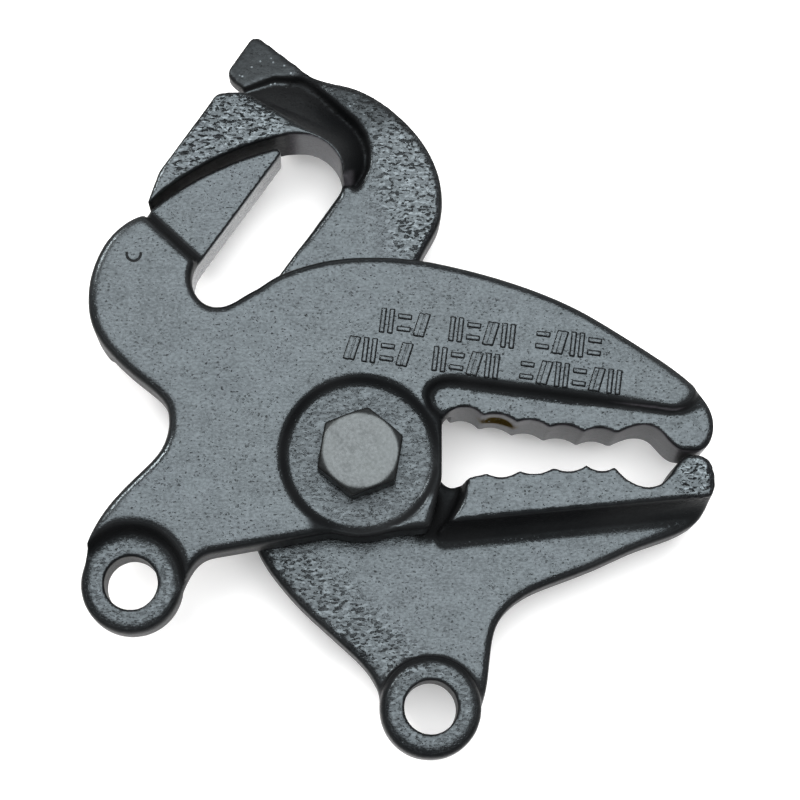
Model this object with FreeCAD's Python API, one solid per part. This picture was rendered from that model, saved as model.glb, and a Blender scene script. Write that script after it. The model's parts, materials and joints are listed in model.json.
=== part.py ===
import FreeCAD, Part
import math
import os

# Chain-hook pliers head: two forged jaws that lap on one hex pivot bolt.
# Everything is drawn about the pivot axis, with the lap plane at z = 0, and then shifted
# so that the middle of the bottom of the whole head is the origin.

os.makedirs("parts", exist_ok=True)

# Levels, measured from the lap plane
PLATE = 13.0            # outer face of each jaw plate
LAP_GAP = 0.15          # half of the running gap between the two plates
STRIP = 10.0            # half thickness of the toothed strips
THIN = 6.3              # half thickness of the tongue and of the ears
BLOCK = 9.3             # half thickness of the hook block at the end of the crescent
RECESS_FLOOR = 11.0     # seat of the bolt head and of the lock washer

# Pivot hardware: half-inch bolt
BOLT_RADIUS = 6.35
BORE_RADIUS = 6.42
HEX_FLATS = 19.05
HEAD_HEIGHT = 7.9
HEAD_GAP = 0.05         # running gap under the head
NUT_HEIGHT = 7.9
WASHER_THICKNESS = 3.1
WASHER_RADIUS = 10.8
WASHER_GAP = 2.0
BOLT_END = 1.6          # bolt showing past the nut
HEAD_TURN = 20.5        # degrees from +X to the first corner of the head
RECESS_RADIUS = 17.3
RECESS_RIM_RADIUS = 19.5

# Handle ears
EAR_HOLE_RADIUS = 6.45
EAR_RADIUS = 12.3
EAR_RIM_INSET = 0.4     # softening of the ear's rims
EAR_RIM_DROP = 0.8
EAR_SIDE_DROP = 2.0
EAR_WALL_SLOPE = 1.2    # how far the plate's wall round an ear leans outwards
EAR_COVE_REACH = 0.6    # hollow between an ear's face and that wall
EAR_COVE_START = 0.7
EAR_COVE_RISE = 2.3
FRONT_EAR = (-55.0, -30.4)
REAR_EAR = (17.3, -60.0)
FRONT_EAR_FACE = 11.4
REAR_EAR_FACE = 10.6

# Step in the front jaw's lobe, where the tongue begins
LOBE_STEP = ((-53.3, 60.0), (-40.2, 48.0))

# Radii about the pivot
TONGUE_RADIUS = 81.5
CRESCENT_WALL_RADIUS = 82.2
CRESCENT_WALL_OPENING = 1.3     # how much further out the arc wall is at the slot end
PLATE_CORNER_RADIUS = 24.6
STRIP_START_RADIUS = 25.4

MOUTH_END = 19.9        # x of the inner end of the mouth
EDGE_ROUND = 1.5
SCALLOP_DEPTH = 1.2
RAMP_WIDTH = 3.6        # hollow ramps from a raised face down to a lower one
FRONT_STRIP_RAMP_WIDTH = 1.5
REAR_STRIP_RAMP_WIDTH = 5.6
RAMP_STEPS = 6
RIM_HEIGHT = 0.4        # start of the slope at the edge of the pivot recess
RIM_START = 0.9

# Lug on the end of the crescent: its face falls away towards the tip
LUG_START = (-4.4, 94.9)
LUG_TURN = 126.0
LUG_LENGTH = 45.0
LUG_WIDTH = 60.0
LUG_SLOPE = 0.14

TROUGH_FLOOR = -4.4     # bottom of the hollow round the collar
BURIED = 5.0            # how far the raised areas of the rear jaw reach down into its web

# Sloping inner end of the rear strip, and the relief beside it
STRIP_TOP_RADIUS = 26.8
RELIEF_RADIUS = 19.3
RELIEF_DEPTH = 3.2

# Small sizes on the bolt and nut
BOLT_END_CHAMFER = 1.0
HEX_FACE_SHARE = 0.95   # width of the flat end face, as a share of the flats
HEX_CHAMFER_ANGLE = 30.0
NUT_TURN = 32.5
WASHER_SPLIT_TURN = 70.0

ROOT = 1.0              # overlap of the pieces that are forged in one
OVERCUT = 0.05          # how far a sloping cut runs on past the face it opens
RAMP_BURIED = 0.3       # how far a ramp's foot reaches into what it runs down to
RAMP_TOP_DROP = 0.8     # top of the rear strip's ramp, below the strip's face
REACH = 40.0            # cutting tools run this far past the plates

Z_AXIS = FreeCAD.Vector(0, 0, 1)


def point(xy, z=0.0):
    return FreeCAD.Vector(xy[0], xy[1], z)


def polar(radius, degrees):
    angle = math.radians(degrees)
    return (radius * math.cos(angle), radius * math.sin(angle))


def outline(start, *runs):
    """Closed wire from runs of ("line", ...), ("curve", ...) and ("arc", middle, end)."""
    edges = []
    here = point(start)
    for kind, *places in runs:
        stops = [point(place) for place in places]
        if kind == "line":
            for stop in stops:
                edges.append(Part.makeLine(here, stop))
                here = stop
        elif kind == "arc":
            edges.append(Part.Arc(here, stops[0], stops[1]).toShape())
            here = stops[1]
        else:
            curve = Part.BSplineCurve()
            curve.interpolate([here] + stops)
            edges.append(curve.toShape())
            here = stops[-1]
    if here.distanceToPoint(point(start)) > 1e-6:
        edges.append(Part.makeLine(here, point(start)))
    return Part.Wire(edges)


def prism(wire, bottom, top):
    face = Part.Face(wire)
    face.translate(FreeCAD.Vector(0, 0, bottom))
    return face.extrude(FreeCAD.Vector(0, 0, top - bottom))


def turned(profile, centre=(0.0, 0.0)):
    """Solid of revolution about a vertical axis; the profile is (radius, z) points."""
    corners = [FreeCAD.Vector(radius, 0, z) for radius, z in profile]
    face = Part.Face(Part.makePolygon(corners + corners[:1]))
    solid = face.revolve(FreeCAD.Vector(0, 0, 0), Z_AXIS, 360)
    solid.translate(point(centre))
    return solid


def cylinder(radius, bottom, top, centre=(0.0, 0.0)):
    return Part.makeCylinder(radius, top - bottom, point(centre, bottom), Z_AXIS)


def joined(solid, *others):
    for other in others:
        solid = solid.fuse(other)
    return solid


def pierced(solid, *cutters):
    for cutter in cutters:
        solid = solid.cut(cutter)
    return solid


def round_level(solid, level, radius):
    """Rounds every edge that lies in the horizontal plane at this level."""
    edges = []
    for edge in solid.Edges:
        box = edge.BoundBox
        if abs(box.ZMin - level) < 1e-4 and abs(box.ZMax - level) < 1e-4:
            edges.append(edge)
    return solid.makeFillet(radius, edges)


def cove(start, end, high, low, width):
    """Concave ramp along a straight line, on its left side, from high down to low."""
    along = point(end).sub(point(start))
    length = along.Length
    corners = [FreeCAD.Vector(0, -ROOT, low), FreeCAD.Vector(0, -ROOT, high)]
    for index in range(RAMP_STEPS + 1):
        angle = math.radians(90.0 * index / RAMP_STEPS)
        across = width * (1 - math.cos(angle))
        drop = (high - low) * math.sin(angle)
        corners.append(FreeCAD.Vector(0, across, high - drop))
    face = Part.Face(Part.makePolygon(corners + corners[:1]))
    ramp = face.extrude(FreeCAD.Vector(length, 0, 0))
    turn = math.degrees(math.atan2(along.y, along.x))
    ramp.rotate(FreeCAD.Vector(0, 0, 0), Z_AXIS, turn)
    ramp.translate(point(start))
    return ramp


def scallops(crests, side):
    """Arc runs from the first crest to the last; side +1 hollows upwards, -1 downwards."""
    runs = []
    for first, second in zip(crests, crests[1:]):
        middle = ((first[0] + second[0]) / 2, (first[1] + second[1]) / 2 + side * SCALLOP_DEPTH)
        runs.append(("arc", middle, second))
    return runs


def ear_body(centre, face_radius):
    """Round ear with softened rims on both faces."""
    upper = [
        (EAR_RADIUS, THIN - EAR_SIDE_DROP), (EAR_RADIUS - EAR_RIM_INSET, THIN - EAR_RIM_DROP),
        (face_radius, THIN), (0, THIN),
    ]
    lower = [(radius, -level) for radius, level in reversed(upper)]
    return turned(lower + upper, centre)


def ear_step(centre, face_radius, side):
    """What the jaw plate loses round an ear on its outer face, front (+1) or rear (-1)."""
    profile = [
        (0, THIN), (face_radius, THIN), (EAR_RADIUS, THIN + EAR_COVE_START),
        (EAR_RADIUS + EAR_COVE_REACH, THIN + EAR_COVE_RISE),
        (EAR_RADIUS + EAR_WALL_SLOPE, PLATE + 2 * OVERCUT),
        (EAR_RADIUS + EAR_WALL_SLOPE, REACH), (0, REACH),
    ]
    return turned([(radius, side * level) for radius, level in profile], centre)


def pivot_recess(side):
    """Shallow round recess with a sloping rim, for the front (+1) or the rear (-1) plate."""
    profile = [
        (0, side * RECESS_FLOOR), (RECESS_RADIUS, side * RECESS_FLOOR),
        (RECESS_RADIUS + RIM_START, side * (RECESS_FLOOR + RIM_HEIGHT)),
        (RECESS_RIM_RADIUS, side * (PLATE + OVERCUT)), (RECESS_RIM_RADIUS, side * REACH),
        (0, side * REACH),
    ]
    return turned(profile)


WALL_LEFT = polar(CRESCENT_WALL_RADIUS, 130.1)
WALL_MIDDLE = polar(CRESCENT_WALL_RADIUS + 0.75 * CRESCENT_WALL_OPENING, 117.0)
WALL_RIGHT = polar(CRESCENT_WALL_RADIUS + CRESCENT_WALL_OPENING, 104.7)

FRONT_CRESTS = [(29.9, 10.2), (38.2, 8.7), (46.1, 7.4), (54.4, 6.3), (62.5, 6.0)]
REAR_CRESTS = [(30.8, -3.9), (38.8, -3.1), (47.0, -2.3), (55.1, -1.7), (62.0, -2.1)]


def front_plate_outline():
    corner = polar(PLATE_CORNER_RADIUS, -46.5)
    return outline(
        (-53.3, 60.0),
        ("curve", (-57.0, 58.2), (-61.2, 54.5), (-64.1, 49.8), (-66.0, 44.0), (-66.5, 38.0),
         (-65.0, 31.0), (-60.8, 25.0), (-55.2, 19.7), (-50.0, 15.6), (-46.9, 12.0), (-46.2, 7.5),
         (-47.6, 2.0), (-51.8, -3.2), (-56.5, -7.9), (-60.9, -13.1), (-64.3, -18.9), (-65.9, -23.6),
         (-65.3, -28.5)),
        ("line", (-55.0, -31.0), (-42.9, -33.0)),
        ("curve", (-41.0, -28.9), (-38.6, -25.6), (-34.6, -23.9)),
        ("line", (-6.6, -18.8)),
        ("arc", (0.5, -19.9), (7.0, -18.7)),
        ("curve", (11.0, -18.1), (14.0, -17.9), corner),
        ("line", (MOUTH_END, -5.3), (MOUTH_END, 9.5), (17.2, 11.6), (16.2, 14.6)),
        ("curve", (17.3, 17.0), (19.8, 18.3), (24.5, 18.4)),
        ("line", (74.5, 11.9)),
        ("curve", (79.0, 12.2), (81.8, 14.4), (82.2, 17.0)),
        ("curve", (79.2, 19.8), (72.9, 24.5), (65.1, 29.6), (53.5, 36.6), (39.0, 42.7), (24.4, 46.9),
         (13.8, 48.9), (1.3, 49.5), (-8.0, 48.6), (-14.3, 47.0), (-20.5, 44.5), (-25.0, 41.4)),
        ("curve", (-29.5, 38.8), (-33.5, 36.8), (-37.6, 37.2), (-40.6, 40.4), (-41.4, 44.6),
         (-40.2, 48.0)),
    )


def tongue_outline():
    """Tongue beyond the step in the lobe."""
    return outline(
        LOBE_STEP[0],
        ("line", polar(TONGUE_RADIUS, 129.4)),
        ("arc", polar(TONGUE_RADIUS, 117.0), polar(TONGUE_RADIUS, 104.6)),
        ("line", (-19.8, 77.3), (-38.4, 50.8), LOBE_STEP[1]),
    )


def lobe_back():
    """Thin lower half of the lobe, which carries the tongue."""
    area = prism(outline(
        (-75.0, 25.4),
        ("line", (-47.0, 26.0), (-34.0, 37.0), (-30.0, 70.0), (-75.0, 70.0)),
    ), -THIN, LAP_GAP)
    return prism(front_plate_outline(), -THIN, LAP_GAP).common(area)


def front_strip_outline():
    nose = (86.5, 8.2)
    return outline(
        (MOUTH_END, 8.8),
        ("curve", (21.6, 11.1), (25.4, 12.4), (28.3, 11.7), FRONT_CRESTS[0]),
        *scallops(FRONT_CRESTS, 1),
        ("curve", (66.0, 7.6), (69.7, 8.2), (72.3, 7.4), (74.5, 5.2), (77.0, 2.7), (79.8, 1.6)),
        ("line", (82.6, 1.6)),
        ("curve", (84.6, 2.9), (86.0, 5.2), nose, (86.0, 11.6), (83.9, 15.2), (80.6, 18.6)),
        ("line", (75.0, 15.4), (28.6, 21.4), (24.6, 18.2)),
        ("curve", (20.6, 16.9), (18.2, 14.9), (17.5, 11.0)),
    )


def strip_root():
    """Joins the inner end of the strip to the plate."""
    return prism(outline(
        (14.5, 10.5),
        ("line", (14.5, 16.5), (18.0, 20.0), (27.0, 21.0), (27.0, 15.0), (20.0, 12.5)),
    ), LAP_GAP, STRIP)


def front_jaw():
    body = prism(front_plate_outline(), LAP_GAP, PLATE).cut(ear_step(FRONT_EAR, FRONT_EAR_FACE, 1))
    body = round_level(body, PLATE, EDGE_ROUND)
    strip = prism(front_strip_outline(), -STRIP, STRIP).cut(cylinder(STRIP_START_RADIUS, -REACH, LAP_GAP))
    tongue = prism(tongue_outline(), -THIN, THIN)
    tongue_ramp = cove(LOBE_STEP[0], LOBE_STEP[1], PLATE - EDGE_ROUND, THIN - RAMP_BURIED, RAMP_WIDTH)
    tongue_ramp = tongue_ramp.common(prism(tongue_outline(), 0.0, PLATE))
    strip_ramp = cove((76.0, 11.8), (24.0, 18.5), PLATE - EDGE_ROUND, STRIP, FRONT_STRIP_RAMP_WIDTH)
    ear = ear_body(FRONT_EAR, FRONT_EAR_FACE)
    jaw = joined(body, lobe_back(), tongue, tongue_ramp, strip, strip_root(), strip_ramp, ear)
    jaw = pierced(
        jaw,
        pivot_recess(1),
        cylinder(BORE_RADIUS, -ROOT, REACH),
        cylinder(EAR_HOLE_RADIUS, -REACH, REACH, FRONT_EAR),
    )
    return jaw.removeSplitter()


def slot_end():
    """Runs round the closed end of the slot and along the arc wall that faces the tongue."""
    return [
        ("curve", (-4.5, 72.2), (-5.6, 75.9), (-8.1, 79.0), (-11.6, 81.0), (-15.6, 81.5), WALL_RIGHT),
        ("arc", WALL_MIDDLE, WALL_LEFT),
    ]


def hook_block_side():
    return [
        ("line", (-50.0, 71.6), (-37.4, 89.9)),
        ("curve", (-36.0, 91.7), (-33.6, 92.3)),
    ]


def rear_web_outline():
    corner = polar(PLATE_CORNER_RADIUS, 46.5)
    return outline(
        (MOUTH_END, -4.2),
        ("line", (22.6, -6.0)),
        ("curve", (26.5, -4.9), REAR_CRESTS[0]),
        *scallops(REAR_CRESTS, -1),
        ("curve", (64.0, -4.4), (66.6, -6.2), (70.0, -7.0), (73.0, -6.3), (75.5, -3.9), (77.6, -0.6),
         (80.0, 1.2)),
        ("line", (82.6, 1.2)),
        ("curve", (85.4, -0.6), (86.5, -4.0), (86.0, -8.8), (83.7, -13.6), (79.6, -16.5), (69.3, -20.3),
         (58.3, -25.2), (47.6, -29.3), (41.0, -32.2), (36.5, -35.6), (33.6, -39.8), (32.3, -45.0),
         (31.6, -51.5), (29.5, -60.0)),
        ("line", (17.3, -60.0), (5.0, -60.0)),
        ("curve", (4.8, -55.6), (2.3, -50.9), (-1.8, -46.6), (-7.5, -41.5), (-14.6, -34.9), (-21.2, -27.2),
         (-25.2, -20.4), (-26.6, -10.0), (-25.8, 4.0), (-24.6, 22.0), (-24.2, 36.0), (-23.2, 43.4)),
        ("line", (-4.9, 69.6)),
        *slot_end(),
        *hook_block_side(),
        ("line", (-29.3, 92.4), (-29.1, 96.4)),
        ("curve", (-31.7, 98.5), (-33.5, 100.5), (-33.1, 103.4)),
        ("line", (-28.7, 110.1)),
        ("curve", (-27.5, 111.2), (-25.7, 111.0)),
        ("line", (-16.1, 103.1)),
        ("curve", (-12.4, 100.4), (-9.0, 99.0), (-2.4, 97.3), (5.2, 93.5), (11.0, 88.7), (16.2, 82.4),
         (19.6, 75.2), (20.8, 67.6), (19.8, 61.1), (17.0, 55.8), (13.6, 48.0), (11.6, 36.0),
         (9.4, 25.6)),
        ("line", (9.4, 22.7), corner, (MOUTH_END, 5.3)),
    )


COLLAR_BASE = [(-8.0, 70.4), (-10.0, 76.0), (-15.0, 79.0), (-22.0, 80.0), (-29.0, 91.5)]
COLLAR_CREST = [
    (-27.8, 91.6), (-21.8, 87.6), (-16.2, 84.1), (-13.6, 82.5), (-11.0, 81.2), (-8.6, 79.9), (-6.6, 78.2),
    (-5.2, 76.2), (-4.2, 73.0), (-4.3, 71.0),
]
COLLAR_WAIST = [
    (-26.8, 92.4), (-21.0, 90.6), (-14.6, 87.9), (-11.4, 86.4), (-7.6, 84.6), (-5.0, 82.9), (-3.0, 80.6),
    (-2.0, 78.0), (-1.9, 74.4), (-3.2, 71.2),
]
TROUGH_LOW = [
    (-31.0, 96.2), (-21.9, 99.6), (-14.8, 99.1), (-11.6, 96.9), (-5.9, 91.3), (-1.9, 87.7), (0.6, 84.1),
    (1.6, 80.2), (1.4, 75.7), (-1.4, 70.6),
]
TROUGH_RIM = [
    (-31.0, 97.2), (-22.0, 101.0), (-14.4, 100.4), (-11.0, 97.9), (-5.2, 92.1), (-1.1, 88.4), (1.5, 84.5),
    (2.5, 80.3), (2.3, 75.6), (-0.9, 70.2),
]


def ring_loft(levels):
    """Straight-sided loft through matching rings, each closed along the side of the slot."""
    sections = []
    for ring, level in levels:
        corners = [point(place, level) for place in ring + COLLAR_BASE + ring[:1]]
        sections.append(Part.makePolygon(corners))
    return Part.makeLoft(sections, True, True)


def collar():
    """Raised rim round the closed end of the slot, falling away into the trough."""
    rim = ring_loft([(TROUGH_LOW, TROUGH_FLOOR - ROOT), (COLLAR_WAIST, BLOCK / 3), (COLLAR_CREST, BLOCK)])
    return rim.cut(slot_prism())


def trough():
    """Hollow round the collar."""
    return ring_loft([(TROUGH_LOW, TROUGH_FLOOR), (TROUGH_RIM, LAP_GAP)])


def slot_prism():
    """Space of the slot and of the gap in front of the arc wall."""
    return prism(outline(
        (-24.0, 42.0),
        ("line", (-4.9, 69.6)),
        *slot_end(),
        ("line", (-60.0, 50.0)),
    ), -REACH, REACH)


def crescent_block():
    """Front half of the hook block, between the arc wall and the slot end."""
    plan = prism(outline(
        WALL_LEFT,
        *hook_block_side(),
        ("line", (-29.3, 92.4), (-27.8, 91.6), (-21.8, 87.6), (-16.2, 84.1), (-11.8, 81.5), (-9.0, 80.0),
         (-20.0, 76.0)),
    ), -BURIED, BLOCK)
    return plan.cut(slot_prism())


def lug_slope():
    """What the crescent's front face loses where it falls away towards the lug's tip."""
    low = -LAP_GAP - LUG_LENGTH * LUG_SLOPE
    profile = Part.makePolygon([
        FreeCAD.Vector(0, 0, -LAP_GAP), FreeCAD.Vector(LUG_LENGTH, 0, low),
        FreeCAD.Vector(LUG_LENGTH, 0, REACH), FreeCAD.Vector(0, 0, REACH),
        FreeCAD.Vector(0, 0, -LAP_GAP),
    ])
    wedge = Part.Face(profile).extrude(FreeCAD.Vector(0, LUG_WIDTH, 0))
    wedge.translate(FreeCAD.Vector(0, -LUG_WIDTH / 2, 0))
    wedge.rotate(FreeCAD.Vector(0, 0, 0), Z_AXIS, LUG_TURN)
    wedge.translate(point(LUG_START))
    return wedge


def heel_relief():
    """Sloping relief in the web, beside the inner end of the toothed strip."""
    ring = turned([
        (RELIEF_RADIUS, REACH), (RELIEF_RADIUS, -LAP_GAP - RELIEF_DEPTH), (STRIP_START_RADIUS, -LAP_GAP),
        (STRIP_START_RADIUS, REACH),
    ])
    area = prism(outline((15.0, -19.0), ("line", (27.0, -19.0), (27.0, 0.0), (15.0, 0.0))), -REACH, REACH)
    return ring.common(area)


def rear_strip():
    """Toothed strip in front of the web, with a hollow ramp below it."""
    area = prism(outline(
        (19.0, -16.2),
        ("line", (51.6, -12.9), (80.0, -10.0), (95.0, -8.6), (95.0, 10.0), (19.0, 10.0)),
    ), -BURIED, STRIP)
    start = turned([
        (0, -LAP_GAP), (STRIP_START_RADIUS, -LAP_GAP), (STRIP_TOP_RADIUS, STRIP), (STRIP_TOP_RADIUS, REACH),
        (0, REACH),
    ])
    ramp = cove((87.0, -9.2), (19.0, -16.2), STRIP - RAMP_TOP_DROP, -LAP_GAP, REAR_STRIP_RAMP_WIDTH)
    band = prism(rear_web_outline(), -BURIED, STRIP)
    return band.common(area.fuse(ramp)).cut(start)


def rear_relief():
    """Thins the back of the crescent's end down to the thickness of the hook block."""
    return prism(outline(
        (-70.0, 50.0),
        ("line", (-6.0, 62.0), (6.0, 74.0), (30.0, 84.0), (30.0, 120.0), (-70.0, 120.0)),
    ), -REACH, -BLOCK)


def rear_jaw():
    web = prism(rear_web_outline(), -PLATE, -LAP_GAP).cut(ear_step(REAR_EAR, REAR_EAR_FACE, -1))
    web = round_level(web, -PLATE, EDGE_ROUND)
    web = pierced(web, lug_slope(), trough(), heel_relief())
    ear = ear_body(REAR_EAR, REAR_EAR_FACE)
    jaw = joined(web, ear, rear_strip(), crescent_block(), collar())
    jaw = pierced(
        jaw,
        pivot_recess(-1),
        cylinder(BORE_RADIUS, -REACH, ROOT),
        cylinder(EAR_HOLE_RADIUS, -REACH, REACH, REAR_EAR),
        rear_relief(),
    )
    return jaw.removeSplitter()


def hexagon(flats, bottom, top, turn=0.0):
    corners = [polar(flats / math.sqrt(3), turn + 60 * index) for index in range(6)]
    return prism(outline(corners[0], ("line", *corners[1:])), bottom, top)


def chamfered_hexagon(flats, bottom, top, turn, both_ends):
    """Hexagon with its corners turned off to the flats at the top, or at both ends."""
    corner = flats / math.sqrt(3) + ROOT
    edge = flats / 2 * HEX_FACE_SHARE
    drop = (corner - edge) * math.tan(math.radians(HEX_CHAMFER_ANGLE))
    profile = [(0, bottom), (corner, bottom), (corner, top - drop), (edge, top), (0, top)]
    if both_ends:
        profile[1:2] = [(edge, bottom), (corner, bottom + drop)]
    envelope = turned(profile)
    return hexagon(flats, bottom, top, turn).common(envelope)


def pivot_bolt():
    seat = RECESS_FLOOR + HEAD_GAP
    head = chamfered_hexagon(HEX_FLATS, seat, seat + HEAD_HEIGHT, HEAD_TURN, False)
    end = -RECESS_FLOOR - WASHER_THICKNESS - NUT_HEIGHT - BOLT_END
    shank = turned([(0, end), (BOLT_RADIUS - BOLT_END_CHAMFER, end), (BOLT_RADIUS, end + BOLT_END_CHAMFER),
                    (BOLT_RADIUS, seat + ROOT), (0, seat + ROOT)])
    return head.fuse(shank).removeSplitter()


def lock_washer():
    bottom = -RECESS_FLOOR - WASHER_THICKNESS
    ring = cylinder(WASHER_RADIUS, bottom, -RECESS_FLOOR).cut(cylinder(BORE_RADIUS, -REACH, 0.0))
    split = Part.makeBox(REACH, WASHER_GAP, REACH, FreeCAD.Vector(0, -WASHER_GAP / 2, -REACH))
    split.rotate(FreeCAD.Vector(0, 0, 0), Z_AXIS, WASHER_SPLIT_TURN)
    return ring.cut(split)


def pivot_nut():
    top = -RECESS_FLOOR - WASHER_THICKNESS
    nut = chamfered_hexagon(HEX_FLATS, top - NUT_HEIGHT, top, NUT_TURN, True)
    return nut.cut(cylinder(BOLT_RADIUS, -REACH, 0.0))


PARTS = {
    "front_jaw": front_jaw(),
    "rear_jaw": rear_jaw(),
    "pivot_bolt": pivot_bolt(),
    "lock_washer": lock_washer(),
    "pivot_nut": pivot_nut(),
}
whole = Part.Compound(list(PARTS.values())).optimalBoundingBox(False)
shift = FreeCAD.Vector(-whole.Center.x, -whole.Center.y, -whole.ZMin)
print("shift to the origin", shift, "size", whole.XLength, whole.YLength, whole.ZLength)
for name, solid in PARTS.items():
    solid.translate(shift)
    print(name, solid.isValid(), len(solid.Solids), round(solid.Volume))
    solid.exportStep("parts/" + name + ".step")
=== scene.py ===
import json
import math

import bmesh
import bpy
import numpy as np
from mathutils import Matrix, Vector, noise


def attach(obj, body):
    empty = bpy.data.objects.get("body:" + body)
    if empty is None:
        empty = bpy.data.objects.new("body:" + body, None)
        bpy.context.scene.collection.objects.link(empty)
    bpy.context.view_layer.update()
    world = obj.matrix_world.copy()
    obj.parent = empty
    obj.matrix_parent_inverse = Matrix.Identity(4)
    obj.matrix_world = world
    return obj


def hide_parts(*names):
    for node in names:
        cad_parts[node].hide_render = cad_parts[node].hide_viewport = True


# Chain-hook pliers head. The two forgings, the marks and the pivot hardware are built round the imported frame.
# Places are millimetres from the pivot axis and from the lap plane between the jaws.

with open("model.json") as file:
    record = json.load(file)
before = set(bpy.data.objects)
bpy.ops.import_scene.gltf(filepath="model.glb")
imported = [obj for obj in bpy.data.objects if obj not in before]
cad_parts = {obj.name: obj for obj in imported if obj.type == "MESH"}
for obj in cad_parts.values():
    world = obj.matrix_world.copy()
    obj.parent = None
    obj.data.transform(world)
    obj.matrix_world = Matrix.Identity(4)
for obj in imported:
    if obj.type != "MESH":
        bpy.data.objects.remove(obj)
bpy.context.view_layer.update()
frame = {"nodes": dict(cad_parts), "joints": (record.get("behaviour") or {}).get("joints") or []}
MM = 0.001
PIVOT = Vector(frame["joints"][0]["pos_m"])

VOXEL = 0.00056           # metres
MARK_VOXEL = VOXEL * 0.4
HARDWARE_VOXEL = 0.00026
WELD = 2e-6             # metres; corners closer than this are one
SOFT_ROUNDS = 3         # relaxing rounds over a whole piece
ROUND_ROUNDS = 16              # further rounds on edges that are worn round
UNUSED_BELOW = 0.01     # noise isn't worked out where its weight is less than this

EARS = ((-55.0, -30.4), (17.3, -60.0))
BORES = (((0.0, 0.0), 6.42), (EARS[0], 6.45), (EARS[1], 6.45))      # centre and radius
BORE_MARGIN = (0.25, 1.4)   # from untouched skin at a bore's wall to fully worked skin
PLATE_FACE = 13.0           # outer face of a jaw plate
LAP_MARGIN = (0.5, 1.2)     # nothing grows outwards this near the lap plane


def place(x, y, z=0.0):
    """Point in the row frame from millimetres about the pivot."""
    return PIVOT + Vector((x, y, z)) * MM


def smoothstep(low, high, value):
    t = np.clip((value - low) / (high - low), 0.0, 1.0)
    return t * t * (3.0 - 2.0 * t)


# ---------------------------------------------------------------- materials

RUST_REACH = (5.0, 1.2)     # radius of the rusty patch and half of its soft edge
SCAR_RADIUS = 1.7
SCAR_WIDTH = 0.38
SCAR_DEPTH = 0.25
SCAR_FADE = 0.6             # length over which the scar's ends run out
# cool colour of the softbox, painted into the paint's reflection
REFLECTED_LAMP_TINT = (0.80, 0.93, 1.0, 1)
FLOOR_GLOW = 0.22


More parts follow.
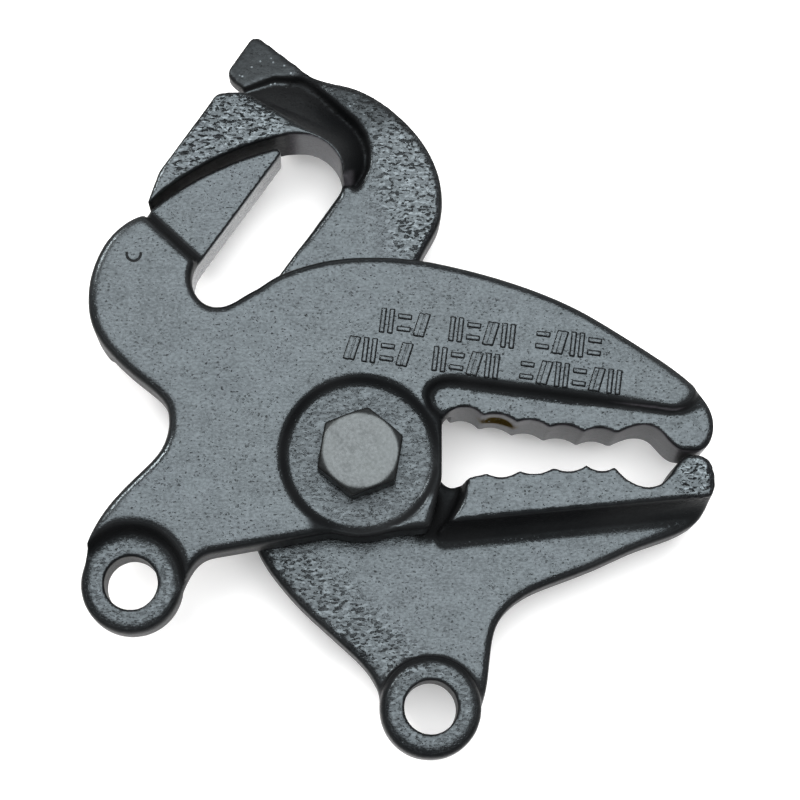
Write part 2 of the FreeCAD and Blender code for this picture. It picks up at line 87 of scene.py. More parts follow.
class Graph:
    """Short way to write a node material."""

    def __init__(self, name):
        self.material = bpy.data.materials.new(name)
        self.material.use_nodes = True
        self.nodes = self.material.node_tree.nodes
        self.links = self.material.node_tree.links
        self.nodes.clear()
        self.shader = self.add("ShaderNodeBsdfPrincipled")
        output = self.add("ShaderNodeOutputMaterial")
        self.links.new(self.shader.outputs["BSDF"], output.inputs["Surface"])
        self.place = self.add("ShaderNodeTexCoord").outputs["Object"]

    def add(self, kind, **settings):
        node = self.nodes.new(kind)
        for key, value in settings.items():
            setattr(node, key, value)
        return node

    def feed(self, socket, value):
        if isinstance(value, bpy.types.NodeSocket):
            self.links.new(value, socket)
        else:
            socket.default_value = value

    def moved(self, offset):
        node = self.add("ShaderNodeVectorMath", operation="ADD")
        self.feed(node.inputs[0], self.place)
        node.inputs[1].default_value = offset
        return node.outputs[0]

    def stretched(self, offset, stretch):
        """Object coordinates moved by the offset and drawn out along X by the stretch."""
        node = self.add("ShaderNodeVectorMath", operation="MULTIPLY")
        self.feed(node.inputs[0], self.moved(offset))
        node.inputs[1].default_value = (1.0 / stretch, 1.0, 1.0)
        return node.outputs[0]

    def noise(self, size_mm, detail=2.0, roughness=0.5, offset=(0, 0, 0), stretch=1.0):
        node = self.add("ShaderNodeTexNoise")
        self.feed(node.inputs["Vector"], self.stretched(offset, stretch))
        node.inputs["Scale"].default_value = 1000.0 / size_mm
        node.inputs["Detail"].default_value = detail
        node.inputs["Roughness"].default_value = roughness
        return node.outputs["Fac"]

    def cells(self, size_mm, offset=(0, 0, 0), stretch=1.0):
        node = self.add("ShaderNodeTexVoronoi", feature="F1")
        self.feed(node.inputs["Vector"], self.stretched(offset, stretch))
        node.inputs["Scale"].default_value = 1000.0 / size_mm
        return node.outputs["Distance"]

    def ramp(self, value, low, high, to_low=0.0, to_high=1.0):
        node = self.add("ShaderNodeMapRange", interpolation_type="SMOOTHSTEP")
        self.feed(node.inputs["Value"], value)
        node.inputs["From Min"].default_value = low
        node.inputs["From Max"].default_value = high
        node.inputs["To Min"].default_value = to_low
        node.inputs["To Max"].default_value = to_high
        return node.outputs["Result"]

    def math(self, operation, first, second=0.0):
        node = self.add("ShaderNodeMath", operation=operation)
        self.feed(node.inputs[0], first)
        self.feed(node.inputs[1], second)
        return node.outputs[0]

    def mix(self, factor, first, second):
        node = self.add("ShaderNodeMix", data_type="RGBA")
        self.feed(node.inputs["Factor"], factor)
        self.feed(node.inputs["A"], first)
        self.feed(node.inputs["B"], second)
        return node.outputs["Result"]

    def near(self, centre, radius_mm, soft_mm):
        """1 inside a ball round a point in the row frame, 0 outside."""
        node = self.add("ShaderNodeVectorMath", operation="DISTANCE")
        self.feed(node.inputs[0], self.place)
        node.inputs[1].default_value = centre
        inner = (radius_mm - soft_mm) * MM
        outer = (radius_mm + soft_mm) * MM
        return self.ramp(node.outputs["Value"], inner, outer, 1.0, 0.0)

    def hook_scar(self, centre, radius_mm, width_mm):
        """1 along the lower half of a ring round a point in the row frame, 0 elsewhere."""
        distance = self.add("ShaderNodeVectorMath", operation="DISTANCE")
        self.feed(distance.inputs[0], self.place)
        distance.inputs[1].default_value = centre
        off = self.math("ABSOLUTE", self.math("SUBTRACT", distance.outputs["Value"], radius_mm * MM))
        parts = self.add("ShaderNodeSeparateXYZ")
        self.feed(parts.inputs[0], self.place)
        below = self.ramp(parts.outputs["Y"], centre.y, centre.y + SCAR_FADE * MM, 1.0, 0.0)
        return self.math("MULTIPLY", self.ramp(off, 0.0, width_mm * MM, 1.0, 0.0), below)

    def attribute(self, name):
        return self.add("ShaderNodeAttribute", attribute_name=name).outputs["Fac"]

    def bump(self, height, depth_mm, below=None):
        node = self.add("ShaderNodeBump")
        node.inputs["Distance"].default_value = depth_mm * MM
        self.feed(node.inputs["Height"], height)
        if below is not None:
            self.feed(node.inputs["Normal"], below)
        return node.outputs["Normal"]

    def finish(self, colour, roughness, normal, metallic=0.0, specular=0.5, tint=(1, 1, 1, 1)):
        inputs = self.shader.inputs
        self.feed(inputs["Base Color"], colour)
        self.feed(inputs["Roughness"], roughness)
        self.feed(inputs["Normal"], normal)
        self.feed(inputs["Specular IOR Level"], specular)
        inputs["Metallic"].default_value = metallic
        inputs["Specular Tint"].default_value = tint
        return self.material


def black_paint(name, rust_spot=None, scar=None):
    """Gloss black paint over a forged skin: orange peel, pin pits, painted shade in the recesses and a worn
    grain.

    The mesh says where the skin is coarse or worn bare, where a pale grey is painted for the floor's
    reflection, where painted shade dims the paint's reflection, and where small bright glints are painted.
    """
    g = Graph(name)
    coarse = g.attribute("coarse")
    bare = g.attribute("bare")
    painted_reflection = g.attribute("painted_reflection")
    painted_shade = g.attribute("painted_shade")
    # relief
    peel = g.noise(1.7, detail=3.0, roughness=0.55)
    fine = g.noise(0.42, detail=2.0, roughness=0.6, offset=(0.1, 0.2, 0.3), stretch=1.5)
    pits = g.ramp(g.cells(0.95, offset=(0.3, 0.1, 0.2), stretch=1.4), 0.10, 0.26)
    gate = g.ramp(g.noise(4.5, detail=2.0, offset=(0.5, 0.4, 0.1)), 0.42, 0.62)
    pits = g.math("MAXIMUM", pits, g.math("SUBTRACT", 1.0, gate))
    pin = g.ramp(g.noise(0.50, detail=1.5, roughness=0.5, offset=(0.9, 0.6, 0.4), stretch=1.5), 0.28, 0.34)
    deep = g.ramp(g.noise(0.66, detail=1.5, roughness=0.5, offset=(0.2, 0.7, 0.6), stretch=2.0), 0.34, 0.44)
    deep = g.math("MAXIMUM", deep, g.math("SUBTRACT", 1.0, coarse))
    broad = g.noise(26.0, detail=3.0, offset=(0.7, 0.2, 0.9))
    normal = g.bump(peel, 0.045)
    normal = g.bump(fine, 0.030, normal)
    normal = g.bump(pits, 0.060, normal)
    normal = g.bump(pin, 0.030, normal)
    normal = g.bump(deep, 0.160, normal)
    # colour and roughness
    dull = g.ramp(g.noise(0.8, detail=3.0, roughness=0.7, offset=(0.2, 0.9, 0.4)), 0.45, 0.75)
    colour = g.mix(g.ramp(broad, 0.35, 0.7), (0.0055, 0.0060, 0.0065, 1), (0.010, 0.0105, 0.011, 1))
    grey = g.mix(dull, (0.070, 0.066, 0.074, 1), (0.125, 0.117, 0.130, 1))
    colour = g.mix(bare, colour, grey)
    # painted reflection: a pale grey for the bright floor that the slot wall mirrors
    colour = g.mix(painted_reflection, colour, g.mix(dull, (0.140, 0.148, 0.154, 1), (0.180, 0.190, 0.197, 1)))
    rough = g.ramp(broad, 0.3, 0.75, 0.16, 0.24)
    rough = g.math("ADD", rough, g.math("MULTIPLY", dull, 0.07))
    rough = g.math("ADD", rough, g.math("MULTIPLY", bare, 0.22))
    # painted shade also makes the paint rougher
    rough = g.math("ADD", rough, g.math("MULTIPLY", painted_shade, 0.20))
    # shine
    worn = g.noise(0.55, detail=3.0, roughness=0.7, offset=(0.6, 0.3, 0.8), stretch=1.7)
    cloud = g.noise(3.5, detail=3.0, roughness=0.6, offset=(0.4, 0.8, 0.2), stretch=1.5)
    shine = g.math("ADD", g.ramp(worn, 0.34, 0.66, 0.18, 0.36), g.ramp(cloud, 0.30, 0.70, 0.06, 0.13))
    crests = g.ramp(g.noise(0.95, detail=2.0, roughness=0.6, offset=(0.3, 0.3, 0.9), stretch=1.9), 0.48, 0.66)
    shine = g.math("ADD", shine, g.math("MULTIPLY", g.math("MULTIPLY", crests, coarse), 0.42))
    shine = g.math("MULTIPLY", shine, g.ramp(pin, 0.0, 1.0, 0.30, 1.0))
    shine = g.math("MULTIPLY", shine, g.ramp(deep, 0.0, 1.0, 0.12, 1.0))
    # painted shade: the paint's reflection is dimmed where the mesh marks shade
    shine = g.math("MULTIPLY", shine, g.ramp(painted_shade, 0.0, 1.0, 1.0, 0.08))
    # painted glints: the reflection is raised in small dots where the mesh marks specks
    speck = g.ramp(g.cells(1.9, offset=(0.8, 0.1, 0.5)), 0.09, 0.17, 1.0, 0.0)
    shine = g.math("ADD", shine, g.math("MULTIPLY", speck, g.attribute("specks")))
    if rust_spot is not None:
        ragged = g.ramp(g.noise(1.8, detail=3.0, roughness=0.6, offset=(0.15, 0.35, 0.55)), 0.26, 0.38)
        spot = g.math("MULTIPLY", g.near(rust_spot, *RUST_REACH), ragged)
        rust = g.mix(dull, (0.085, 0.056, 0.012, 1), (0.17, 0.115, 0.030, 1))
        colour = g.mix(spot, colour, rust)
        shine = g.math("MULTIPLY", shine, g.math("SUBTRACT", 1.0, spot))
    if scar is not None:
        hook = g.hook_scar(scar, SCAR_RADIUS, SCAR_WIDTH)
        normal = g.bump(hook, -SCAR_DEPTH, normal)
        shine = g.math("MULTIPLY", shine, g.ramp(hook, 0.3, 0.9, 1.0, 0.2))
    return g.finish(colour, rough, normal, specular=shine, tint=REFLECTED_LAMP_TINT)


def plated_steel(name, seed):
    """Dull plated steel with a fine grain and slight stains."""
    g = Graph(name)
    shift = (seed * 0.37, seed * 0.21, seed * 0.13)
    grain = g.noise(0.35, detail=2.0, roughness=0.6, offset=shift)
    waves = g.noise(2.4, detail=2.0, offset=shift)
    stain = g.ramp(g.noise(6.0, detail=4.0, roughness=0.65, offset=shift), 0.42, 0.72)
    speck = g.ramp(g.noise(0.7, detail=3.0, roughness=0.7, offset=shift), 0.38, 0.62)
    colour = g.mix(stain, (0.044, 0.049, 0.050, 1), (0.033, 0.037, 0.038, 1))
    colour = g.mix(speck, colour, (0.054, 0.060, 0.062, 1))
    # painted shade: the sides are darkened
    colour = g.mix(g.attribute("painted_shade"), colour, (0.012, 0.013, 0.0135, 1))
    normal = g.bump(waves, 0.020)
    normal = g.bump(grain, 0.008, normal)
    rough = g.ramp(grain, 0.3, 0.7, 0.34, 0.46)
    return g.finish(colour, rough, normal, metallic=0.85, specular=0.3)


def floor_white(name):
    g = Graph(name)
    mottle = g.noise(300.0, detail=2.0)
    colour = g.mix(mottle, (0.90, 0.90, 0.90, 1), (0.94, 0.94, 0.94, 1))
    normal = g.bump(g.noise(2.0, detail=2.0), 0.002)
    g.shader.inputs["Emission Color"].default_value = (1, 1, 1, 1)
    g.shader.inputs["Emission Strength"].default_value = FLOOR_GLOW
    return g.finish(colour, 0.85, normal, specular=0.1)


# ---------------------------------------------------------------- meshes

def linked(name, data):
    piece = bpy.data.objects.new(name, data)
    bpy.context.scene.collection.objects.link(piece)
    return piece


def remeshed(piece, voxel):
    """Replaces the piece's mesh by an even skin of small faces."""
    remesh = piece.modifiers.new("remesh", "REMESH")
    remesh.mode = "VOXEL"
    remesh.voxel_size = voxel
    bpy.context.view_layer.update()
    graph = bpy.context.evaluated_depsgraph_get()
    mesh = bpy.data.meshes.new_from_object(piece.evaluated_get(graph))
    piece.modifiers.clear()
    piece.data = mesh
    return mesh


def welded_copy(node):
    mesh = frame["nodes"][node].data.copy()
    form = bmesh.new()
    form.from_mesh(mesh)
    bmesh.ops.remove_doubles(form, verts=form.verts, dist=WELD)
    form.to_mesh(mesh)
    form.free()
    return mesh


def coordinates(mesh):
    points = np.empty(len(mesh.vertices) * 3, np.float32)
    mesh.vertices.foreach_get("co", points)
    return points.reshape(-1, 3).astype(float)


def normals(mesh):
    directions = np.empty(len(mesh.vertices) * 3, np.float32)
    mesh.vertex_normals.foreach_get("vector", directions)
    return directions.reshape(-1, 3).astype(float)


def move_to(mesh, points):
    mesh.vertices.foreach_set("co", points.astype(np.float32).ravel())
    mesh.update()


def about_pivot(points):
    """Millimetres about the pivot."""
    return (points - np.array(PIVOT)) / MM


def set_attribute(mesh, name, values):
    layer = mesh.attributes.new(name, "FLOAT", "POINT")
    layer.data.foreach_set("value", values.astype(np.float32))


def relaxed(mesh, points, weight, rounds):
    """Points drawn towards their neighbours' average, as far as the weight says."""
    edges = np.empty(len(mesh.edges) * 2, np.int32)
    mesh.edges.foreach_get("vertices", edges)
    first, second = edges.reshape(-1, 2).T
    count = np.bincount(first, minlength=len(points)) + np.bincount(second, minlength=len(points))
    share = (0.5 * weight / np.maximum(count, 1))[:, None]
    for _ in range(rounds):
        total = np.empty_like(points)
        for axis in range(3):
            column = points[:, axis]
            total[:, axis] = (np.bincount(first, column[second], len(points))
                              + np.bincount(second, column[first], len(points)))
        points = points + share * (total - points * count[:, None])
    return points


LUMP_STEP = (17.3, 5.1, 9.7)            # how far apart the noise of two seeds is taken
HOLLOW_STEP = (11.9, 7.7, 3.3)
HOLLOW_REACH = 0.55     # radius of a pit in its cell


def lumps(points, size_mm, seed, where):
    """Smooth noise in -1 to 1 at the given wavelengths, worked out only where it is used."""
    values = np.zeros(len(points))
    offset = Vector([step * seed for step in LUMP_STEP])
    scaled = points / np.array(size_mm)
    for index in np.nonzero(where > UNUSED_BELOW)[0]:
        values[index] = noise.noise(Vector(scaled[index]) + offset)
    return values


def hollows(points, size_mm, seed, where):
    """Pits, 0 to 1, one in each cell of the given size."""
    values = np.zeros(len(points))
    offset = Vector([step * seed for step in HOLLOW_STEP])
    scaled = points / np.array(size_mm)
    for index in np.nonzero(where > UNUSED_BELOW)[0]:
        distance = noise.voronoi(Vector(scaled[index]) + offset)[0][0]
        values[index] = max(0.0, 1.0 - (distance / HOLLOW_REACH) ** 2)
    return values


GRAIN = ((2.6, 1.7, 2.0), 0.018, 4)     # skin of the level faces: wavelengths, depth, seed
SWELL = ((5.0, 5.0, 5.0), 0.02, 21)     # slow waves of the whole skin


def clear_of_bores(x, y):
    """0 on the walls of the bores, 1 away from them."""
    clear = np.ones(len(x))
    for centre, radius in BORES:
        clear = clear * smoothstep(*BORE_MARGIN, np.abs(np.hypot(x - centre[0], y - centre[1]) - radius))
    return clear


def skin_move(local, out, clear, zones):
    """How far the skin moves outwards, in millimetres, and how coarse it is."""
    x, y, z = local.T
    level = smoothstep(0.6, 0.95, np.abs(out[:, 2])) * clear
    size, depth, seed = GRAIN
    move = level * depth * lumps(local, size, seed, level)
    coarse = np.zeros(len(local))
    for mask, size, bump_mm, pit_mm, seed in zones:
        where = mask(x, y, z, out) * clear
        coarse = np.maximum(coarse, where)
        move += where * bump_mm * lumps(local, size, seed, where)
        move -= where * pit_mm * hollows(local, size, seed + 1, where)
    size, depth, seed = SWELL
    move += clear * depth * lumps(local, size, seed, clear)
    # nothing grows into the gap between the jaws
    lap = 1 - smoothstep(*LAP_MARGIN, np.abs(z))
    return np.minimum(move, 0.0) * lap + move * (1 - lap), coarse


def forging(node, zones, sharp):
    """Detailed forging from the node's solid: soft edges, a cast skin and the coarse areas given in zones."""
    piece = linked(node + "_forging", welded_copy(node))
    mesh = remeshed(piece, VOXEL)
    points = coordinates(mesh)
    points = relaxed(mesh, points, np.ones(len(points)), SOFT_ROUNDS)
    x, y, z = about_pivot(points).T
    clear = clear_of_bores(x, y)
    points = relaxed(mesh, points, clear * (1 - sharp(x, y, z)), ROUND_ROUNDS)
    move_to(mesh, points)
    local = about_pivot(points)
    out = normals(mesh)
    move, coarse = skin_move(local, out, clear, zones)
    points += out * (move * MM)[:, None]
    move_to(mesh, points)
    mesh.shade_smooth()
    set_attribute(mesh, "coarse", coarse)
    return piece, local, out


def sides(out):
    """1 on rounded edges and walls, 0 on level faces."""
    return 1 - smoothstep(0.78, 0.965, np.abs(out[:, 2]))


def upright(out):
    """1 on walls, 0 on anything that leans."""
    return 1 - smoothstep(0.2, 0.5, np.abs(out[:, 2]))


def dress(piece, body, node, material):
    """Gives a piece its material and body, and hides the CAD node that it stands in for, if any."""
    piece.data.materials.clear()
    piece.data.materials.append(material)
    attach(piece, body)
    if node:
        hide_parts(node)


def band(value, low, high, soft):
    """1 between low and high, 0 outside."""
    return smoothstep(low - soft, low + soft, value) * (1 - smoothstep(high - soft, high + soft, value))


def ball(x, y, centre, radius, soft):
    """1 inside a round area, 0 outside."""
    return 1 - smoothstep(radius - soft, radius + soft, np.hypot(x - centre[0], y - centre[1]))


# ---------------------------------------------------------------- the jaws

def end_block(x, y, z, out):
    """Front face of the hook block, left of the collar."""
    radius = np.hypot(x, y)
    along = smoothstep(-54.0, -44.0, x) * (1 - smoothstep(-24.0, -17.0, x + 0.35 * (y - 90)))
    return smoothstep(83.0, 85.0, radius) * along * smoothstep(6.0, 8.0, z) * smoothstep(0.5, 0.9, out[:, 2])


def crescent_side(x, y, z, out):
    """Right side of the crescent, where the skin is wrinkled."""
    away = smoothstep(-2.0, 10.0, x + 0.25 * (y - 70)) * smoothstep(48.0, 56.0, y)
    return 0.85 * away * smoothstep(-2.0, -0.6, z) * smoothstep(0.4, 0.9, out[:, 2])


def crescent_top(x, y, z, out):
    return ball(x, y, (2.0, 94.0), 9.0, 4.0) * smoothstep(-2.0, -0.6, z) * 0.5


def rear_tip(x, y, z, out):
    return smoothstep(76.0, 80.0, x) * smoothstep(5.0, 8.0, z)


def rear_shoulder(x, y, z, out):
    """Left side of the rear web, beside its sloping edge."""
    edge = (x + 24.6) * 0.66 + (y + 20.0) * 0.75
    along = smoothstep(-60.0, -50.0, y) * (1 - smoothstep(-20.0, -16.0, y))
    reach = (1 - smoothstep(3.0, 11.0, edge)) * along
    return 0.7 * reach * smoothstep(0.4, 0.9, np.abs(out[:, 2]))


def ear_faces(x, y, z, out):
    front = ball(x, y, EARS[0], 13.5, 1.5)
    rear = ball(x, y, EARS[1], 13.5, 1.5)
    return np.maximum(front, rear) * smoothstep(0.3, 0.8, np.abs(out[:, 2])) * 0.4


def recess_floor(x, y, z, out):
    return ball(x, y, (0.0, 0.0), 17.0, 1.0) * smoothstep(9.5, 10.5, np.abs(z)) * 0.35


def trough_floor(x, y, z, out):
    low = 1 - smoothstep(-1.0, 0.0, z)
    return ball(x, y, (-8.0, 88.0), 16.0, 2.0) * low * smoothstep(0.3, 0.8, out[:, 2])


def front_sharp(x, y, z):
    """Teeth and hook tongue of the front jaw, which keep their edges."""
    teeth = band(x, 22.0, 90.0, 1.0) * band(y, -4.0, 13.5, 1.0) * (1 - smoothstep(76.0, 80.0, x))
    tongue = (1 - smoothstep(6.6, 7.4, z)) * smoothstep(34.0, 36.0, y)
    return np.maximum(teeth, tongue)


def rear_sharp(x, y, z):
    """Teeth, end block, lug and collar of the rear jaw, which keep their edges."""
    teeth = band(x, 22.0, 76.0, 1.0) * band(y, -9.0, 6.0, 1.0)
    block = (1 - smoothstep(-16.0, -12.0, x)) * smoothstep(40.0, 42.0, y)
    rim = ball(x, y, (-9.0, 83.0), 14.5, 1.0)
    return np.maximum(np.maximum(teeth, block), rim)


# where, wavelengths of the bumps and pits, height of the bumps, depth of the pits, seed
FRONT_ZONES = [
    (ear_faces, (1.3, 0.9, 1.3), 0.12, 0.08, 3),
    (recess_floor, (1.3, 1.3, 1.3), 0.12, 0.06, 5),
]
REAR_ZONES = [
    (end_block, (2.1, 1.0, 2.0), 0.30, 0.16, 1),
    (crescent_side, (2.0, 1.0, 1.6), 0.13, 0.12, 7),
    (crescent_top, (1.6, 1.0, 1.4), 0.08, 0.06, 8),
    (trough_floor, (1.6, 1.2, 1.4), 0.08, 0.04, 10),
    (rear_tip, (1.5, 1.5, 1.5), 0.10, 0.22, 9),
    (rear_shoulder, (1.7, 1.2, 1.5), 0.24, 0.16, 11),
    (ear_faces, (1.3, 0.9, 1.3), 0.12, 0.08, 13),
    (recess_floor, (1.3, 1.3, 1.3), 0.12, 0.06, 15),
]

SIDE_SHADE = 0.92        # painted shade: how far the paint's reflection is dimmed on rounded edges and walls
RECESS_FLOOR_SHADE = 0.7        # and the pivot recess
# dimming of the ear faces; painted shade on the lug and on the shoulder
EAR_DIMMING = 0.5
LUG_SHADE = 0.5
SHOULDER_SHADE = 0.3
TOP_SHADE = 0.55         # painted shade on the paint beside the trough, which slopes away
RUST_SPOT = (33.8, 9.0, 1.5)
SCAR_SPOT = (-55.4, 49.4, PLATE_FACE)


def darkened(painted_shade, *parts):
    for part in parts:
        painted_shade = np.maximum(painted_shade, part)
    return painted_shade


def recess_rim(x, y):
    """Thin edge of the front plate, right of and below the pivot recess."""
    right = smoothstep(6.0, 10.0, x) * band(y, -10.0, 13.0, 1.5)
    below = band(x, -12.0, 8.0, 2.0) * (1 - smoothstep(-16.0, -14.0, y))
    return band(np.hypot(x, y), 18.4, 22.0, 0.4) * np.maximum(right, below)


def front_forging():
    piece, local, out = forging("front_jaw", FRONT_ZONES, front_sharp)
    x, y, z = local.T
    tooth_wall = smoothstep(0.3, 0.7, -out[:, 1]) * band(x, 22.0, 84.0, 1.0) * band(y, 0.0, 14.0, 1.0)
    tooth_wall = tooth_wall * upright(out)
    slot_wall = smoothstep(0.3, 0.6, out[:, 0]) * band(x, -44.0, -14.0, 1.0) * smoothstep(37.0, 39.0, y)
    slot_wall = slot_wall * upright(out) * (1 - smoothstep(6.2, 7.2, z))
    # painted shade: the paint's reflection is dimmed on edges and walls, on the pivot recess's floor and rim,
    # and on the ear faces
    painted_shade = darkened(
        SIDE_SHADE * sides(out) * (1 - tooth_wall) * (1 - slot_wall),
        RECESS_FLOOR_SHADE * recess_floor(x, y, z, out),
        EAR_DIMMING * ear_faces(x, y, z, out),
        recess_rim(x, y),
    )
    set_attribute(piece.data, "bare", tooth_wall)
    # painted reflection: the slot wall is marked for a pale grey
    set_attribute(piece.data, "painted_reflection", slot_wall)
    set_attribute(piece.data, "painted_shade", painted_shade)
    set_attribute(piece.data, "specks", np.zeros(len(x)))
    paint = black_paint("paint_front", rust_spot=place(*RUST_SPOT), scar=place(*SCAR_SPOT))
    dress(piece, "front", "front_jaw", paint)


def trough_side(x, y, z, out):
    """Hollow round the collar, and the collar's slope."""
    slope = (1 - smoothstep(8.4, 9.0, z)) * sides(out)
    bottom = 1 - smoothstep(-1.4, -0.6, z)
    return ball(x, y, (-9.0, 86.0), 16.5, 0.8) * np.maximum(slope, bottom)


def rear_forging():
    piece, local, out = forging("rear_jaw", REAR_ZONES, rear_sharp)
    x, y, z = local.T
    radius = np.hypot(x, y)
    slot_wall = band(x, -18.0, -2.0, 1.0) * band(y, 66.0, 84.0, 1.0)
    slot_wall = slot_wall * (1 - smoothstep(0.3, 0.6, np.abs(out[:, 2]))) * smoothstep(0.1, 0.5, -out[:, 1])
    heel = band(radius, 19.0, 27.0, 0.8) * smoothstep(15.0, 17.0, x) * band(y, -18.5, -2.0, 1.0)
    arc_wall = band(radius, 81.0, 85.5, 0.4) * (1 - smoothstep(-18.0, -14.0, x)) * upright(out)
    lug = (1 - smoothstep(-14.0, -8.0, x)) * smoothstep(95.0, 99.0, y)
    # painted shade: the paint's reflection is dimmed on edges and walls, in the heel's crevice, the trough and
    # the gap at the arc wall, on the lug, the shoulder, the crescent's top and the recess floor, and on the ear
    # faces
    painted_shade = darkened(
        darkened(SIDE_SHADE * sides(out), heel, trough_side(x, y, z, out)) * (1 - slot_wall),
        LUG_SHADE * lug,
        arc_wall,
        SHOULDER_SHADE * rear_shoulder(x, y, z, out),
        TOP_SHADE * ball(x, y, (1.0, 95.0), 11.0, 5.0),
        RECESS_FLOOR_SHADE * recess_floor(x, y, z, out),
        EAR_DIMMING * ear_faces(x, y, z, out),
    )
    set_attribute(piece.data, "bare", slot_wall)
    set_attribute(piece.data, "painted_reflection", np.zeros(len(x)))
    set_attribute(piece.data, "painted_shade", painted_shade)
    # painted glints on the lug and the crescent's top
    set_attribute(piece.data, "specks", np.maximum(lug, crescent_top(x, y, z, out)))
    dress(piece, "rear", "rear_jaw", black_paint("paint_rear"))


front_forging()
rear_forging()


# ---------------------------------------------------------------- raised marks

MARK_HEIGHT = 6.2
MARK_PROUD = 0.45
MARK_ROOT = 0.15        # how deep a bar is sunk into the plate
BAR_WIDTH = 1.0
BAR_END = 1.6           # stretches the two ends of a bar
CELL_SHARE = 0.8        # part of a cell's width that its bars take up
# level of each ring of a bar, and its half width as a share of the bar's width
BAR_RINGS = (
    (PLATE_FACE - MARK_ROOT, 0.80),
    (PLATE_FACE + MARK_PROUD * 0.6, 0.66),
    (PLATE_FACE + MARK_PROUD, 0.44),
)
# start and end of each row, and how many marks its groups have
MARK_ROWS = (((4.8, 33.3), (59.6, 26.6), (3, 4, 4)), ((-3.7, 26.5), (64.3, 17.9), (4, 4, 6)))
# the two bars of each kind of mark, across and up the cell: upright, level and slanted
MARK_KINDS = (
    (((0.2, 0.08), (0.2, 0.92)), ((0.8, 0.08), (0.8, 0.92))),
    (((0.15, 0.25), (0.85, 0.25)), ((0.15, 0.75), (0.85, 0.75))),
    (((0.15, 0.1), (0.42, 0.9)), ((0.58, 0.1), (0.85, 0.9))),
)


def bar(form, start, end):
    """Raised bar with sloping sides between two points on the plate's face."""
    along = end - start
    side = Vector((-along.y, along.x)).normalized()
    reach = along.normalized() * BAR_WIDTH / 2
    rings = []
    for level, half in BAR_RINGS:
        ring = []
        for across, end_sign, base in ((-1, -1, start), (-1, 1, end), (1, 1, end), (1, -1, start)):
            corner = base + side * (across * half * BAR_WIDTH) + reach * (end_sign * half * BAR_END)
            ring.append(form.verts.new(place(corner.x, corner.y, level)))
        rings.append(ring)
    form.faces.new(rings[0][::-1])
    form.faces.new(rings[-1])
    for lower, upper in zip(rings, rings[1:]):
        for index in range(4):
            following = (index + 1) % 4
            form.faces.new((lower[index], lower[following], upper[following], upper[index]))


def cell(form, corner, along, up, kind):
    """One mark: a pair of bars in the cell that starts at the corner."""
    for ends in MARK_KINDS[kind]:
        start, end = [corner + along * across + up * rise for across, rise in ends]
        bar(form, start, end)


def mark_mesh():
    form = bmesh.new()
    count = 0
    for start, end, groups in MARK_ROWS:
        along = Vector(end) - Vector(start)
        length = along.length
        along.normalize()
        up = Vector((-along.y, along.x))
        slots = sum(groups) + len(groups) - 1
        step = length / slots
        index = 0
        for group in groups:
            for _ in range(group):
                corner = Vector(start) + along * (index * step) - up * (MARK_HEIGHT / 2)
                cell(form, corner, along * (step * CELL_SHARE), up * MARK_HEIGHT, count % len(MARK_KINDS))
                count += 1
                index += 1
            index += 1
    mesh = bpy.data.meshes.new("raised_marks")
    form.to_mesh(mesh)
    form.free()
    return mesh


def raised_marks():
    """Two rows of plain raised bars on the front jaw's face."""
    piece = linked("raised_marks", mark_mesh())
    mesh = remeshed(piece, MARK_VOXEL)
    everywhere = np.ones(len(mesh.vertices))
    move_to(mesh, relaxed(mesh, coordinates(mesh), everywhere, SOFT_ROUNDS))
    mesh.shade_smooth()
    for name in ("coarse", "bare", "painted_reflection", "specks"):
        set_attribute(mesh, name, 0.0 * everywhere)
    # painted shade on the bars' sloping sides
    set_attribute(mesh, "painted_shade", sides(normals(mesh)))
    dress(piece, "front", None, black_paint("paint_marks"))


raised_marks()


# ---------------------------------------------------------------- pivot hardware

THREAD_PITCH = 1.75
THREAD_DEPTH = 0.45
THREAD_TOP = -14.4
THREAD_RUNOUT = 0.4
DENTS = ((2.4, 2.4, 2.4), 0.05, 30)     # wavelengths, depth and first seed


def thread(local, out):
    """Depth of the bolt's thread at each point."""
    x, y, z = local.T
    turn = np.arctan2(y, x) / (2 * math.pi)
    wave = np.abs(((z / THREAD_PITCH - turn) % 1.0) * 2.0 - 1.0)
    shank = (1 - smoothstep(THREAD_TOP - THREAD_RUNOUT, THREAD_TOP, z)) * smoothstep(5.2, 6.0, np.hypot(x, y))
    return shank * THREAD_DEPTH * wave * smoothstep(0.3, 0.8, np.hypot(out[:, 0], out[:, 1]))


def hardware(node, seed):
    """Forged and plated piece from the node's solid, with worn edges and, on the bolt, a thread."""
    piece = linked(node + "_detail", welded_copy(node))
    mesh = remeshed(piece, HARDWARE_VOXEL)
    points = relaxed(mesh, coordinates(mesh), np.ones(len(mesh.vertices)), SOFT_ROUNDS * 2)
    move_to(mesh, points)
    local = about_pivot(points)
    x, y, z = local.T
    out = normals(mesh)
    size, depth, first_seed = DENTS
    outside = smoothstep(11.2, 12.0, np.abs(z)) * smoothstep(6.6, 7.2, np.hypot(x, y))
    move = outside * depth * lumps(local, size, first_seed + seed, outside)
    if node == "pivot_bolt":
        move -= thread(local, out)
    points += out * (move * MM)[:, None]
    move_to(mesh, points)
    mesh.shade_smooth()
    # painted shade on the sides
    set_attribute(mesh, "painted_shade", sides(out))
    dress(piece, "rear", node, plated_steel("plated_" + node, seed))


for node, seed in (("pivot_bolt", 1), ("lock_washer", 2), ("pivot_nut", 3)):
    hardware(node, seed)


# ---------------------------------------------------------------- floor, light and camera

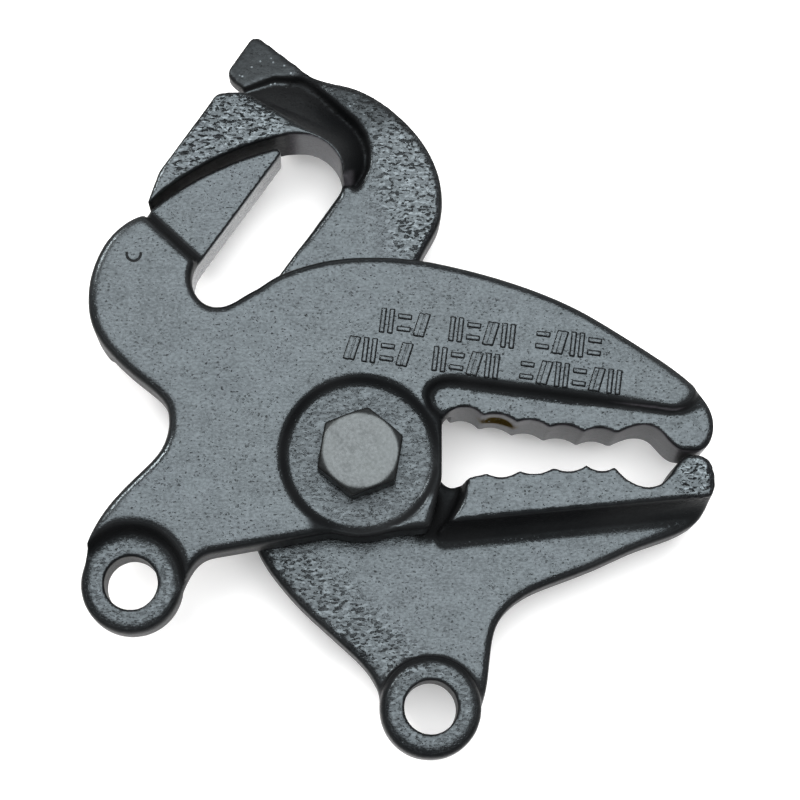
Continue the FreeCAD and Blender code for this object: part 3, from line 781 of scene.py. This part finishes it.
# metres, watts
FLOOR_REACH = 6.0
MIDDLE = place(8.0, 18.0, 10.0)
SOFTBOX_WAY = Vector((0.028, 0.192, 0.981))     # from the middle, where the faces mirror it to the camera
SOFTBOX_DISTANCE = 1.2
SOFTBOX_SIZE = (0.95, 1.0)
SOFTBOX_POWER = 26.0
KEY_OFFSET = Vector((-0.9, 0.8, 1.1))
KEY_SIZE = (0.3, 0.3)
KEY_POWER = 13.0
WALL_TOP = 0.10         # rise of the line of sight, as a sine, where the bright walls begin to fade
CEILING = 0.75          # and where they have faded to the ceiling
WALL_LIGHT = 1.0
CEILING_LIGHT = 0.22
CAMERA_PLACE = place(-6.67, -98.2, 582.8)
CAMERA_TILT = 11.08     # degrees that the camera looks up the picture, away from straight down
CAMERA_LEAN = -1.639    # degrees about Y
LENS = 108.0            # millimetres
SENSOR = 36.0


def floor():
    mesh = bpy.data.meshes.new("floor")
    corners = [(-FLOOR_REACH, -FLOOR_REACH, 0), (FLOOR_REACH, -FLOOR_REACH, 0),
               (FLOOR_REACH, FLOOR_REACH, 0), (-FLOOR_REACH, FLOOR_REACH, 0)]
    mesh.from_pydata(corners, [], [(0, 1, 2, 3)])
    mesh.materials.append(floor_white("floor_white"))
    piece = linked("floor", mesh)


def camera():
    data = bpy.data.cameras.new("camera")
    data.sensor_width = SENSOR
    data.lens = LENS
    view = linked("camera", data)
    tilt = Matrix.Rotation(math.radians(CAMERA_TILT), 4, "X")
    lean = Matrix.Rotation(math.radians(CAMERA_LEAN), 4, "Y")
    view.matrix_world = Matrix.Translation(CAMERA_PLACE) @ lean @ tilt
    bpy.context.scene.camera = view


def area_light(name, at, size, power, colour):
    """Rectangular light that faces the middle of the object."""
    data = bpy.data.lights.new(name, "AREA")
    data.shape = "RECTANGLE"
    data.size, data.size_y = size
    data.energy = power
    data.color = colour
    light = linked(name, data)
    light.location = at
    light.rotation_euler = (MIDDLE - at).to_track_quat("-Z", "Y").to_euler()


def studio():
    """Bright walls round the table and a dim ceiling round the softbox."""
    world = bpy.data.worlds.new("studio")
    world.use_nodes = True
    nodes = world.node_tree.nodes
    links = world.node_tree.links
    direction = nodes.new("ShaderNodeTexCoord")
    height = nodes.new("ShaderNodeSeparateXYZ")
    links.new(direction.outputs["Generated"], height.inputs[0])
    glow = nodes.new("ShaderNodeMapRange")
    glow.inputs["From Min"].default_value = WALL_TOP
    glow.inputs["From Max"].default_value = CEILING
    glow.inputs["To Min"].default_value = WALL_LIGHT
    glow.inputs["To Max"].default_value = CEILING_LIGHT
    links.new(height.outputs["Z"], glow.inputs["Value"])
    links.new(glow.outputs["Result"], nodes["Background"].inputs["Strength"])
    nodes["Background"].inputs["Color"].default_value = (1, 1, 1, 1)
    bpy.context.scene.world = world


floor()
camera()
area_light("softbox", MIDDLE + SOFTBOX_WAY * SOFTBOX_DISTANCE, SOFTBOX_SIZE, SOFTBOX_POWER, (1.0, 1.0, 1.0))
area_light("key", MIDDLE + KEY_OFFSET, KEY_SIZE, KEY_POWER, (1.0, 0.98, 0.96))
studio()
bpy.context.scene.view_settings.view_transform = "Standard"
